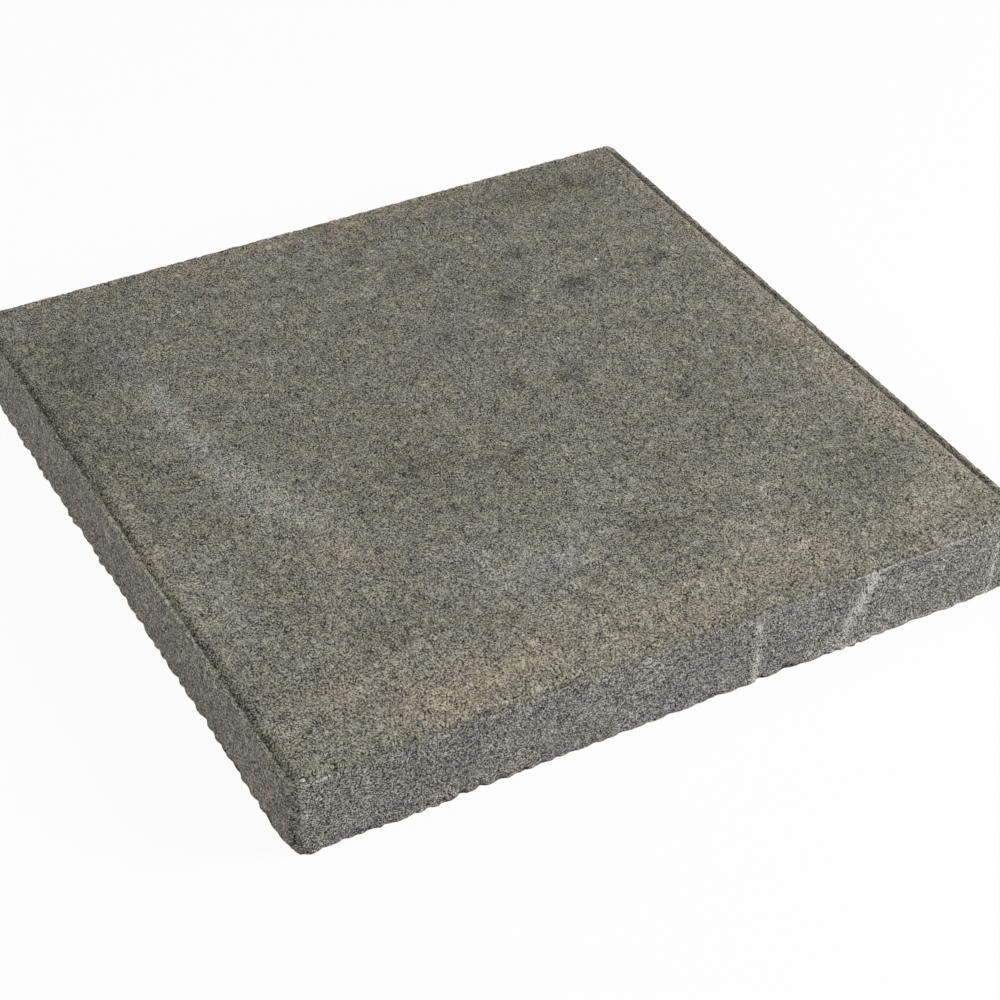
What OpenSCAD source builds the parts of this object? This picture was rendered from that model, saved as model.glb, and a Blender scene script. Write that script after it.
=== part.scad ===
// Square concrete paving slab, cast in one piece in a steel mould and pressed from above.
// The press shoe is a little smaller than the mould and its edge turns down, so the wearing
// face ends in a rolled shoulder, a groove and a thin lip. The bottom arris is left ragged:
// paste squeezes out under the mould wall in lobes, and between them the edge tears in.
// Origin: middle of the bed face. +X runs along the length, +Y along the width, +Z up.

/* [Slab] */
// Length along X, over the moulded joint faces
slab_l = 450; // [200:50:900]
// Width along Y, over the moulded joint faces
slab_w = 450; // [200:50:900]
// Thickness from the bed face to the wearing face
slab_t = 50; // [32:1:80]
// Radius of the upright corners, as the mould leaves them
corner_r = 6; // [4:0.5:15]

/* [Pressed edge of the wearing face] */
// Width of the lip left between the press shoe and the mould wall
lip_w = 2.2; // [0.8:0.1:4]
// Height of the lip above the floor of the groove
lip_h = 1.6; // [0.4:0.1:3]
// Depth of the groove's floor below the wearing face
groove_d = 2.2; // [1:0.1:5]
// Width of the groove's floor
groove_w = 1.2; // [0.5:0.1:5]
// Width of the rolled shoulder between the groove and the wearing face
shoulder_w = 5.5; // [2:0.5:20]
// How much rounder the shoe's corners are than the mould's, which thickens the lip there
shoe_round = 5.5; // [1:0.5:20]

/* [Ragged bottom arris] */
// Height up to which the bottom arris is ragged
ragged_h = 7; // [3:0.5:15]
// How far the longest lobe of paste stands out from the joint face
burr_w = 1; // [0.2:0.1:3]
// How far the deepest tear runs in behind the joint face
tear_w = 1.6; // [0.4:0.1:3]
// Average length of one lobe along the edge
lobe_pitch = 12; // [8:1:40]
// Share by which a lobe is longer or shorter than that
lobe_spread = 0.5; // [0:0.1:0.7]

/* [Broken bottom corner] */
// Length broken off the bottom edge of the front face
chip_x = 5; // [3:1:60]
// Length broken off the bottom edge of the left face
chip_y = 26; // [5:1:60]
// Height that the break reaches up the corner
chip_h = 6; // [3:1:25]

/* [Hidden] */
concrete = [0.50, 0.48, 0.44];

// The shoulder's curve and a corner of the arris are drawn with this many chords each, and
// a lobe with this many points
shoulder_chords = 6;
corner_chords = 8;
lobe_points = 3;
// Depths that the tears are drawn from, before the deepest is brought to its own size
tear_low = 0.5;
tear_high = 1.5;
// Shares of the ragged height at which the arris runs out into the joint face
lobe_low = 0.5;
lobe_high = 0.9;
// A lobe's section bends at this share of its height, where it keeps this share of its width
belly_h = 0.4;
belly_w = 0.8;
// What the lobes are drawn from, and the step to the next side's draw
lobe_seed = 7;
side_seed = 10;
// Facets of a full circle
circle_facets = 64;
// How far a piece is rooted in its neighbour, and how far a cutter reaches past the slab
root = 4;
past = 5;
// How far the arris's root draws in from the joint face
draft = 0.3;
// Shares of the way from the deepest tear to a corner's centre at which the core's wall
// stands and the arris ends inside it
core_share = 0.25;
arris_share = 0.5;

floor_z = slab_t - groove_d;
shoe_r = corner_r - lip_w + shoe_round;
field_inset = lip_w + groove_w;
field_r = max(shoe_r - groove_w, shoulder_w);
core_inset = tear_w + core_share * (corner_r - tear_w);
arris_inset = tear_w + arris_share * (corner_r - tear_w);

// Edge section of the raised field above its root: a quarter wave that starts steeply at
// the groove's floor and runs out level in the wearing face
shoulder = [
    for (i = [0:shoulder_chords])
        let (s = i / shoulder_chords)
            [field_r - shoulder_w * s, root + groove_d * sin(90 * s)]
];
field_section = concat([[0, 0], [field_r, 0]], shoulder, [[0, root + groove_d]]);

// Rectangle with round corners
module rounded_plan(l, w, r) {
    square([l - 2 * r, w], center = true);
    square([l, w - 2 * r], center = true);
    for (x = [-1, 1], y = [-1, 1])
        translate([x * (l / 2 - r), y * (w / 2 - r)]) circle(r, $fn = circle_facets);
}

// Rectangular block inside the ragged arris, from the bed face up into the moulded part
module core() {
    linear_extrude(height = floor_z)
        rounded_plan(slab_l - 2 * core_inset, slab_w - 2 * core_inset, corner_r - core_inset);
}

// What the mould holds above the ragged arris: upright joint faces up to the top of the lip
module moulded_block() {
    translate([0, 0, ragged_h]) linear_extrude(height = floor_z + lip_h - ragged_h)
        rounded_plan(slab_l, slab_w, corner_r);
}

// What the press shoe pushes out of the block, which leaves the thin lip round it
module shoe_recess() {
    translate([0, 0, floor_z]) linear_extrude(height = lip_h + past)
        rounded_plan(slab_l - 2 * lip_w, slab_w - 2 * lip_w, shoe_r);
}

// Raised field inside the groove, with one edge section along its sides and round its corners
module field() {
    run_l = slab_l - 2 * (field_inset + field_r);
    run_w = slab_w - 2 * (field_inset + field_r);
    translate([0, 0, floor_z - root]) {
        translate([-run_l / 2, -run_w / 2, 0]) cube([run_l, run_w, root + groove_d]);
        for (side = [0:3]) {
            along = side % 2 == 0 ? run_w : run_l;
            across = side % 2 == 0 ? run_l : run_w;
            rotate([0, 0, 90 * side]) translate([across / 2, along / 2, 0]) {
                rotate([90, 0, 0]) linear_extrude(height = along) polygon(field_section);
                rotate_extrude(angle = 90, $fn = circle_facets) polygon(field_section);
            }
        }
    }
}

// How far out the arris stands at s lobes along the edge: round at each lobe and sharp at
// the tear between two, with every tear of its own depth
function lobe_wave(s, tears) =
    let (i = floor(s), f = s - i)
        abs(sin(180 * f)) - tears[i] * (1 - f) - tears[i + 1] * f;

// The same values with the longest lobe brought to 1 and the deepest tear to -1
function balanced(values) =
    let (longest = max(values), deepest = min(values))
        [for (v = values) v > 0 ? v / longest : -v / deepest];

// Sum of the first n values
function total(values, n) = n == 0 ? 0 : total(values, n - 1) + values[n - 1];

// A vector turned by so many quarters of a circle
function turned(v, quarters) = [v, [-v[1], v[0]], -v, [v[1], -v[0]]][quarters];

// Stations of the arris on a run of its side, each as its place along the run, how far it
// stands out of the joint face and the height at which it runs out
function side_stations(run, seed) =
    let (
        lobes = round(run / lobe_pitch),
        last = lobes * lobe_points,
        tears = rands(tear_low, tear_high, lobes + 1, seed),
        heights = rands(lobe_low, lobe_high, last, seed + 1),
        lengths = rands(1 - lobe_spread, 1 + lobe_spread, lobes, seed + 2),
        starts = [for (i = [0:lobes]) total(lengths, i)],
        wave = balanced([for (i = [0:last - 1]) lobe_wave(i / lobe_points, tears)])
    )
        [
            for (i = [1:last - 1])
                let (
                    lobe = floor(i / lobe_points),
                    along = starts[lobe] + lengths[lobe] * (i / lobe_points - lobe)
                )
                    [
                        run * along / starts[lobes],
                        wave[i] * (wave[i] > 0 ? burr_w : tear_w),
                        ragged_h * heights[i]
                    ]
        ];

// Ragged arris all round, lofted along the edge through one section at each station. It is
// rooted in the core and in the moulded block, and only worn back round the corners.
module ragged_arris() {
    stations = [
        for (side = [0:3])
            let (
                run = (side % 2 == 0 ? slab_l : slab_w) - 2 * corner_r,
                face = (side % 2 == 0 ? slab_w : slab_l) / 2
            )
                each concat(
                    [
                        for (s = side_stations(run, lobe_seed + side_seed * side))
                            [
                                turned([s[0] - run / 2, -face], side),
                                turned([0, -1], side),
                                s[1],
                                s[2]
                            ]
                    ],
                    [
                        for (i = [0:corner_chords])
                            let (a = 90 * i / corner_chords - 90, d = [cos(a), sin(a)])
                                [
                                    turned([run / 2, corner_r - face] + corner_r * d, side),
                                    turned(d, side),
                                    -tear_w,
                                    ragged_h * lobe_high
                                ]
                    ]
                )
    ];
    rings = [
        [for (s = stations) [each (s[0] + s[1] * s[2]), 0]],
        [for (s = stations) [each (s[0] + s[1] * s[2] * belly_w), s[3] * belly_h]],
        [for (s = stations) [each s[0], s[3]]],
        [for (s = stations) [each (s[0] - s[1] * draft), ragged_h + root]],
        [for (s = stations) [each (s[0] - s[1] * arris_inset), ragged_h + root]],
        [for (s = stations) [each (s[0] - s[1] * arris_inset), 0]]
    ];
    n = len(stations);
    count = len(rings) * n;
    skin = [
        for (i = [0:n - 1], ring = [0:n:count - n])
            let (a = ring + i, b = ring + (i + 1) % n, c = (a + n) % count, d = (b + n) % count)
                each [[a, c, b], [b, c, d]]
    ];
    polyhedron([for (ring = rings) each ring], skin);
}

// What has broken off the front left corner at the bottom: all that lies outside the plane
// through the ends of the three lengths chip_x, chip_y and chip_h
module broken_corner() {
    translate([-slab_l / 2, -slab_w / 2, 0]) polyhedron(
        [
            [-past, -past, -past],
            [chip_x * (1 + past / chip_y + past / chip_h), -past, -past],
            [-past, chip_y * (1 + past / chip_x + past / chip_h), -past],
            [-past, -past, chip_h * (1 + past / chip_x + past / chip_y)]
        ],
        [[0, 1, 2], [0, 3, 1], [1, 3, 2], [2, 3, 0]]
    );
}

module slab() {
    color(concrete) difference() {
        union() {
            difference() {
                moulded_block();
                shoe_recess();
            }
            field();
            core();
            ragged_arris();
        }
        broken_corner();
    }
}

slab();
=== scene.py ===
"""Looks of a pressed concrete paving slab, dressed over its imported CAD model.

The slab is one casting. Its skin is one closed mesh that follows the CAD solid and adds what the
mix, the press and the mould leave on it: open grain, pits, crumbling lips and a torn bottom arris.
The pebbles that show in it are a mesh of their own. Lengths are in millimetres until a mesh is
written, and places on the slab are counted from its front left corner.
"""

import logging
import math
from dataclasses import dataclass, field
from enum import Enum
from functools import lru_cache
from typing import Any, Optional, Sequence, Union

import bmesh
import bpy
import numpy as np
from mathutils import Matrix, Vector
from mathutils.bvhtree import BVHTree


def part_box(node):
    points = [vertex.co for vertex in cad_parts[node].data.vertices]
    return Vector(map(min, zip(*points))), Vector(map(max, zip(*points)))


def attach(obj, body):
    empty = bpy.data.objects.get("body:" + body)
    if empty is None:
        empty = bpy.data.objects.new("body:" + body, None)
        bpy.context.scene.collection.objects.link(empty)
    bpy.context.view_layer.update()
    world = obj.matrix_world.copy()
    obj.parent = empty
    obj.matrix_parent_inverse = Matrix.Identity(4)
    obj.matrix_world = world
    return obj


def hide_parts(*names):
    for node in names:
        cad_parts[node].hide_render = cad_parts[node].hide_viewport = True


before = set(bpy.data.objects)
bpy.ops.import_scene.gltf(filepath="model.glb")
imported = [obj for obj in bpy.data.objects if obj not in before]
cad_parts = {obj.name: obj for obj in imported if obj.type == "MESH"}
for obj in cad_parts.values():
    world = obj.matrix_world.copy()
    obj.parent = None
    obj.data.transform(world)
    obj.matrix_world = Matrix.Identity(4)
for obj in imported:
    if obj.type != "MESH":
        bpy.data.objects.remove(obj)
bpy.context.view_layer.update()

log = logging.getLogger("slab")

Array = np.ndarray
Stray = tuple[Union[Array, float], Union[Array, float]]
Colour = tuple[float, float, float]

MM = 0.001
NODE = "slab"
BODY = "root"


# ---------------------------------------------------------------- numbers and colours

def smooth_step(low: float, high: float, values: Array) -> Array:
    """Eases values from 0 at low to 1 at high."""
    t = np.clip((values - low) / (high - low), 0.0, 1.0)
    return t * t * (3.0 - 2.0 * t)


def paint(red: float, green: float, blue: float) -> Colour:
    """A colour as a shader takes it, from its display values of 0 to 255."""
    parts = (v / 255 for v in (red, green, blue))
    return tuple(p / 12.92 if p <= 0.04045 else ((p + 0.055) / 1.055) ** 2.4 for p in parts)


@lru_cache
def lattice(seed: int, cells: int) -> tuple[Array, Array]:
    """Draws a random lattice.

    Args:
        seed: What the draw starts from.
        cells: How many cells it has before it repeats.

    Returns:
        The cells' order, three times over, and the slope in each.
    """
    draw = np.random.default_rng(seed)
    order = np.tile(draw.permutation(cells), 3)
    slopes = draw.normal(size=(cells, 3))
    return order, slopes / np.linalg.norm(slopes, axis=1, keepdims=True)


@dataclass(frozen=True)
class Texture:
    """A smooth random field of lumps of about one size, the same on every run."""

    seed: int
    size: float
    layers: int = 3
    fade: float = 0.5
    low: float = -1.0
    high: float = 1.0
    cells: int = 256
    gain: float = 1.6
    apart: float = 17.3

    def layer(self, place: Array) -> Array:
        """One layer of gradient noise.

        Args:
            place: Where to read it, in lattice cells.

        Returns:
            Values from about -1 to 1.
        """
        order, slopes = lattice(self.seed, self.cells)
        cell = np.floor(place).astype(int)
        inside = place - cell
        ease = inside * inside * inside * (inside * (inside * 6.0 - 15.0) + 10.0)
        cell &= self.cells - 1
        total = np.zeros(len(place))
        for step in np.ndindex(2, 2, 2):
            row = order[order[cell[:, 0] + step[0]] + cell[:, 1] + step[1]]
            slope = slopes[order[row + cell[:, 2] + step[2]]]
            share = np.where(step, ease, 1.0 - ease).prod(axis=1)
            total += share * ((inside - step) * slope).sum(axis=1)
        return total * self.gain

    def at(self, points: Array) -> Array:
        """Adds up the layers, each with lumps half as large as the last.

        Args:
            points: Where to read them, one row each.

        Returns:
            Values from about -1 to 1.
        """
        total, strength, weight = np.zeros(len(points)), 1.0, 0.0
        for layer in range(self.layers):
            total += strength * self.layer((points + self.apart * layer) / (self.size / 2**layer))
            weight += strength
            strength *= self.fade
        return total / weight

    def share(self, points: Array) -> Array:
        """The lumps' strength, eased from 0 at the low level to 1 at the high one."""
        return smooth_step(self.low, self.high, self.at(points))


def graded(half: float, fine: float, coarse: float, growth: float, band: float) -> Array:
    """Places from -half to half that are fine at both ends and coarse in the middle.

    Args:
        half: Half the length to divide.
        fine: The step at the ends.
        coarse: The step in the middle.
        growth: How much each step grows on the last.
        band: How far from each end the step stays fine.

    Returns:
        The places, in rising order.
    """
    steps: list[float] = []
    while sum(steps) < half:
        grown = max(len(steps) - band / fine, 0.0)
        steps.append(min(fine * growth**grown, coarse))
    inner = np.cumsum([0.0] + steps) * half / sum(steps)
    side = half - inner[:-1]
    return np.concatenate([-side, [0.0], side[::-1]])


# ---------------------------------------------------------------- meshes

def write_mesh(name: str, points: Array, faces: Array) -> bpy.types.Object:
    """Makes a smooth mesh object that rides on the slab's body.

    Args:
        name: The piece's name.
        points: Its points in millimetres, one row each.
        faces: Point numbers, the same count for each face.

    Returns:
        The new object, in the scene.
    """
    mesh = bpy.data.meshes.new(name)
    mesh.vertices.add(len(points))
    mesh.vertices.foreach_set("co", (points * MM).astype(np.float32).ravel())
    mesh.loops.add(faces.size)
    mesh.loops.foreach_set("vertex_index", faces.astype(np.int32).ravel())
    mesh.polygons.add(len(faces))
    starts = np.arange(len(faces), dtype=np.int32) * faces.shape[1]
    mesh.polygons.foreach_set("loop_start", starts)
    mesh.update(calc_edges=True)
    mesh.shade_smooth()
    piece = bpy.data.objects.new(name, mesh)
    bpy.context.scene.collection.objects.link(piece)
    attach(piece, BODY)
    return piece


def write_values(piece: bpy.types.Object, name: str, values: Array) -> None:
    """Stores a number or a colour for each point, under a name that a material can read.

    Args:
        piece: The mesh object.
        name: The attribute's name.
        values: One row a point, with one or three columns.
    """
    attributes = piece.data.attributes
    if values.ndim == 1:
        kept = attributes.new(name, "FLOAT", "POINT")
        kept.data.foreach_set("value", values.astype(np.float32))
    else:
        kept = attributes.new(name, "FLOAT_COLOR", "POINT")
        solid = np.column_stack([values, np.ones(len(values))])
        kept.data.foreach_set("color", solid.astype(np.float32).ravel())


# ---------------------------------------------------------------- the slab's skin

@dataclass(frozen=True)
class Plan:
    """The slab's outline from above, with its round corners."""

    half_x: float
    half_y: float
    corner: float
    height: float

    def place(self, u: Array, v: Array) -> tuple[Array, Array, Array]:
        """Bends a square grid into the outline.

        Args:
            u: Distances along X on the square grid.
            v: Distances along Y on the square grid.

        Returns:
            The points, the outward normals, and how far in from the outline each point lies.
        """
        a = np.abs(u) - (self.half_x - self.corner)
        b = np.abs(v) - (self.half_y - self.corner)
        reach = np.maximum(a, b)
        bent = (a > 0) & (b > 0)
        length = np.where(bent, np.hypot(a, b), 1.0)
        pull = np.where(bent, reach / length, 1.0)
        x = np.where(bent, np.sign(u) * (self.half_x - self.corner + a * pull), u)
        y = np.where(bent, np.sign(v) * (self.half_y - self.corner + b * pull), v)
        normal_x = np.where(bent, a / length, a >= b) * np.sign(u)
        normal_y = np.where(bent, b / length, a < b) * np.sign(v)
        inset = self.corner - reach
        return np.column_stack([x, y]), np.column_stack([normal_x, normal_y]), inset


class Cast:
    """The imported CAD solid, felt from outside by rays."""

    def __init__(self, node: bpy.types.Object) -> None:
        """Prepares the CAD node's object."""
        self.tree = BVHTree.FromObject(node, bpy.context.evaluated_depsgraph_get())

    def feel(self, starts: Array, ways: Array, miss: float) -> Array:
        """Sends one ray from each start.

        Args:
            starts: Where the rays start, one row each.
            ways: Their directions.
            miss: The answer for a ray that meets nothing.

        Returns:
            How far each ray goes before it meets the solid.
        """
        found = np.full(len(starts), miss)
        for i, (start, way) in enumerate(zip(starts * MM, ways)):
            distance = self.tree.ray_cast(Vector(start), Vector(way))[3]
            if distance is not None:
                found[i] = distance / MM
        return found


class Face(Enum):
    """A face of the slab, with its outward axis and its direction on it."""

    TOP = (2, 1)
    FRONT = (1, -1)
    LEFT = (0, -1)
    BACK = (1, 1)


@dataclass
class Surface:
    """Points of the skin, with what the relief and the finish need to know of each."""

    points: Array
    outward: Array
    inset: Array
    on_joint_face: Array
    on_bed: Array
    plan: Plan

    @property
    def on_top(self) -> Array:
        """Share of the wearing face at each point."""
        return 1.0 - self.on_joint_face - self.on_bed

    @property
    def down(self) -> Array:
        """How far each point lies below the wearing face."""
        return self.plan.height - self.points[:, 2]

    def on(self, face: Face) -> tuple[Array, Array, Array]:
        """Places on one face: along X and Y on top, and along the edge and down on a side.

        Args:
            face: The face.

        Returns:
            The two places, and how far each point belongs to the face.
        """
        x = self.points[:, 0] + self.plan.half_x
        y = self.points[:, 1] + self.plan.half_y
        if face is Face.TOP:
            return x, y, self.on_top
        axis, sign = face.value
        flat = np.linalg.norm(self.outward[:, :2], axis=1)
        turned = np.clip(sign * self.outward[:, axis] / np.maximum(flat, 1e-6), 0, 1)
        return (y if axis == 0 else x), self.down, turned * (self.on_joint_face > 0)


@dataclass
class SlabSkin:
    """The slab's skin: one closed mesh that follows the CAD solid and carries its relief.

    The grid's steps are fine at the arrises and grow towards the middle. Rays start at the
    probe's distance and keep the skim's distance from the edges, so that none slips past.
    """

    cast: Cast
    burr: float = 1.0
    corner: float = 6.0
    fine: float = 0.5
    coarse: float = 1.5
    growth: float = 1.12
    rolled_edge: float = 9.0
    side_coarse: float = 2.8
    side_growth: float = 1.17
    most_triangles: int = 197_000
    probe: float = 12.0
    lost: float = 48.0
    skim: float = 0.3
    lowest: float = 0.05
    tear_reach: float = 2.2
    break_height: float = 16.0
    break_step: float = 0.5
    rim_fade: float = 5.0
    bed_margin: float = 1.6
    corner_guard: float = 34.0
    plan: Plan = field(init=False)
    sheets: tuple[tuple[Array, Array], ...] = field(init=False)

    def __post_init__(self) -> None:
        """Takes the outline and the height from the CAD solid's box."""
        low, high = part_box(NODE)
        self.plan = Plan(
            half_x=(high.x - low.x) / MM / 2 - self.burr,
            half_y=(high.y - low.y) / MM / 2 - self.burr,
            corner=self.corner,
            height=(high.z - low.z) / MM,
        )

    def lay(self) -> tuple[Surface, Array]:
        """Lays the skin over the CAD solid.

        Returns:
            The skin's points, and its faces as four point numbers each.
        """
        lines_x, lines_y = (
            graded(half, self.fine, self.coarse, self.growth, self.rolled_edge)
            for half in (self.plan.half_x, self.plan.half_y)
        )
        u, v = (g.ravel() for g in np.meshgrid(lines_x, lines_y, indexing="ij"))
        flat, normal, inset = self.plan.place(u, v)
        grid = np.arange(len(flat)).reshape(len(lines_x), len(lines_y))
        rim = np.concatenate([grid[:-1, 0], grid[-1, :-1], grid[:0:-1, -1], grid[0, :0:-1]])

        top = np.column_stack([flat, self.height(flat, normal, inset, from_below=False)])
        rings = self.joint_rings(top[rim], normal[rim])
        shift = self.spread_inwards(flat, inset, flat[rim], rings[-1][:, :2] - flat[rim])
        under = flat + shift
        bed = np.column_stack([under, self.height(under, normal, inset, from_below=True)])
        bed[rim] = rings[-1]

        side = len(rings) - 2
        sideways = self.sideways(normal[rim])
        up = np.tile((0.0, 0.0, 1.0), (len(flat), 1))
        top_way, bed_way = up.copy(), -up
        top_way[rim] = (sideways + up[rim]) / math.sqrt(2)
        bed_way[rim] = (sideways - up[rim]) / math.sqrt(2)
        joint = np.zeros(len(flat))
        joint[rim] = 0.5
        side_count = side * len(rim)
        upper = np.arange(len(flat))
        lower = upper + len(flat) + side_count
        self.sheets = ((upper, rim), (lower, lower[rim]))
        surface = Surface(
            points=np.concatenate([top, *rings[1:-1], bed]),
            outward=np.concatenate([top_way, np.tile(sideways, (side, 1)), bed_way]),
            inset=np.concatenate([inset, np.zeros(side_count), inset]),
            on_joint_face=np.concatenate([joint, np.ones(side_count), joint]),
            on_bed=np.concatenate([np.zeros(len(flat) + side_count), 1.0 - joint]),
            plan=self.plan,
        )
        return surface, self.faces(grid, rim, side)

    def height(self, flat: Array, normal: Array, inset: Array, from_below: bool) -> Array:
        """Height of the solid's upper or lower side at each grid point.

        Args:
            flat: The grid's points in plan.
            normal: Their outward normals.
            inset: How far each lies in from the outline.
            from_below: Whether the lower side is felt.

        Returns:
            One height for each point.
        """
        within = flat - normal * np.maximum(self.skim - inset, 0.0)[:, None]
        start = -self.probe if from_below else self.plan.height + self.probe
        way = 1.0 if from_below else -1.0
        starts = np.column_stack([within, np.full(len(flat), start)])
        ways = np.tile((0.0, 0.0, way), (len(flat), 1))
        return start + way * self.cast.feel(starts, ways, self.probe)

    def joint_rings(self, rim: Array, normal: Array) -> list[Array]:
        """Rings of points down the joint faces, from the lip to the foot.

        Args:
            rim: The outline's points on the lip.
            normal: Its outward normals.

        Returns:
            The rings, the first on the lip and the last on the foot.
        """
        half = self.plan.height / 2
        levels = graded(half, self.fine, self.side_coarse, self.side_growth, 0.0)
        foot = self.foot_heights(rim, normal)
        rings = [rim]
        for level in (levels[::-1] / half + 1)[1:] / 2:
            z = foot + level * (rim[:, 2] - foot)
            felt_at = np.clip(z, self.lowest, rim[:, 2] - self.skim)
            gap = self.gap(rim, normal, felt_at)
            rings.append(np.column_stack([rim[:, :2] - normal * gap[:, None], z]))
        return rings

    def gap(self, rim: Array, normal: Array, height: Array) -> Array:
        """How far the solid stands back from its outline, below 0 where it stands out."""
        starts = np.column_stack([rim[:, :2] + normal * self.probe, height])
        return self.cast.feel(starts, -self.sideways(normal), self.lost) - self.probe

    @staticmethod
    def sideways(normal: Array) -> Array:
        """Level directions in space from the outline's normals."""
        return np.column_stack([normal, np.zeros(len(normal))])

    def foot_heights(self, rim: Array, normal: Array) -> Array:
        """Lowest height at which the joint face still stands near its outline.

        Args:
            rim: The outline's points.
            normal: Its outward normals.

        Returns:
            One height for each point: 0, or more where a corner has broken off.
        """
        foot = np.zeros(len(rim))
        left = np.arange(len(rim))
        steps = np.arange(self.break_step, self.break_height, self.break_step)
        for z in (self.lowest, *steps):
            gap = self.gap(rim[left], normal[left], np.full(len(left), z))
            stands = gap < self.tear_reach
            foot[left[stands]] = 0.0 if z == self.lowest else z
            left = left[~stands]
            if not len(left):
                break
        return foot

    def spread_inwards(self, flat: Array, inset: Array, rim: Array, moved: Array) -> Array:
        """Carries a shift of the outline inwards, fading with the distance from it.

        Args:
            flat: The grid's points.
            inset: How far each lies in from the outline.
            rim: The outline's points.
            moved: How far each of those has moved.

        Returns:
            How far each point of the grid moves.
        """
        turn = 2 * math.pi
        angle = np.arctan2(flat[:, 1] / self.plan.half_y, flat[:, 0] / self.plan.half_x)
        known = np.arctan2(rim[:, 1] / self.plan.half_y, rim[:, 0] / self.plan.half_x)
        shift = [np.interp(angle, known, moved[:, axis], period=turn) for axis in (0, 1)]
        return np.column_stack(shift) * np.exp(-np.maximum(inset, 0) / self.rim_fade)[:, None]

    @staticmethod
    def faces(grid: Array, rim: Array, side: int) -> Array:
        """The skin's faces: the wearing face, the joint faces and the bed.

        Args:
            grid: Point numbers of the wearing face.
            rim: Point numbers of its outline, in order.
            side: How many rings the joint faces have between their two arrises.

        Returns:
            Four point numbers a face, turned outwards.
        """
        top = np.stack([grid[:-1, :-1], grid[1:, :-1], grid[1:, 1:], grid[:-1, 1:]], -1)
        bed_start = grid.size + side * len(rim)
        rings = [grid.size + i * len(rim) + np.arange(len(rim)) for i in range(side)]
        loops = [rim, *rings, bed_start + rim]
        found = [top.reshape(-1, 4), (bed_start + top[..., ::-1]).reshape(-1, 4)]
        for upper, lower in zip(loops[:-1], loops[1:]):
            found.append(np.stack([upper, lower, np.roll(lower, -1), np.roll(upper, -1)], -1))
        return np.concatenate(found)

    def follow_arrises(self, surface: Surface, before: Array) -> None:
        """Draws the wearing face and the bed along with their arrises, so that none folds.

        Args:
            surface: The skin's points after the relief, which are moved.
            before: The same points before it.
        """
        for sheet, rim in self.sheets:
            kept = surface.points[rim].copy()
            moved = kept[:, :2] - before[rim, :2]
            drawn = self.spread_inwards(before[sheet, :2], surface.inset[sheet],
                                        before[rim, :2], moved)
            surface.points[sheet, :2] += drawn
            surface.points[rim] = kept

    def thin(self, piece: bpy.types.Object, surface: Surface) -> None:
        """Takes points out of the flat faces until the piece is light enough.

        Args:
            piece: The skin.
            surface: Its points.
        """
        from_corner = (surface.points[:, :2] + (self.plan.half_x, self.plan.half_y)).max(axis=1)
        on_bed = surface.on_bed == 1
        margin = np.where(on_bed, self.bed_margin, self.rolled_edge)
        loose = (surface.on_joint_face == 0) & (surface.inset > margin)
        loose &= (from_corner > self.corner_guard) | ~on_bed
        group = piece.vertex_groups.new(name="flat")
        group.add(np.flatnonzero(loose).tolist(), 1.0, "REPLACE")
        thin = piece.modifiers.new("thin", "DECIMATE")
        thin.ratio = min(self.most_triangles / (2 * len(piece.data.polygons)), 1.0)
        thin.vertex_group = group.name
        graph = bpy.context.evaluated_depsgraph_get()
        lighter = bpy.data.meshes.new_from_object(piece.evaluated_get(graph))
        piece.modifiers.clear()
        piece.vertex_groups.clear()
        piece.data = lighter


# ---------------------------------------------------------------- relief

@dataclass(frozen=True)
class Spot:
    """A soft-edged oval on one face of the slab."""

    face: Face
    along: float
    across: float
    long: float
    wide: float
    turn: float = 0.0

    def share(self, surface: Surface, stray: Stray = (0.0, 0.0)) -> Array:
        """How strong the spot is at each point of the skin.

        Args:
            surface: The skin's points.
            stray: How far each point is read off its place, which frays the outline.

        Returns:
            Values from 0 to 1.
        """
        u, v, belongs = surface.on(self.face)
        turn = math.radians(self.turn)
        du, dv = u + stray[0] - self.along, v + stray[1] - self.across
        along = (du * math.cos(turn) + dv * math.sin(turn)) / self.long
        across = (dv * math.cos(turn) - du * math.sin(turn)) / self.wide
        return np.exp(-(along**2 + across**2)) * belongs


Marks = tuple[tuple[float, Spot], ...]


def marks(*rows: Sequence[float], face: Face = Face.TOP) -> Marks:
    """Spots from rows of strength, place along and across, half length, half width and turn."""
    return tuple((row[0], Spot(face, *row[1:])) for row in rows)


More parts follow.
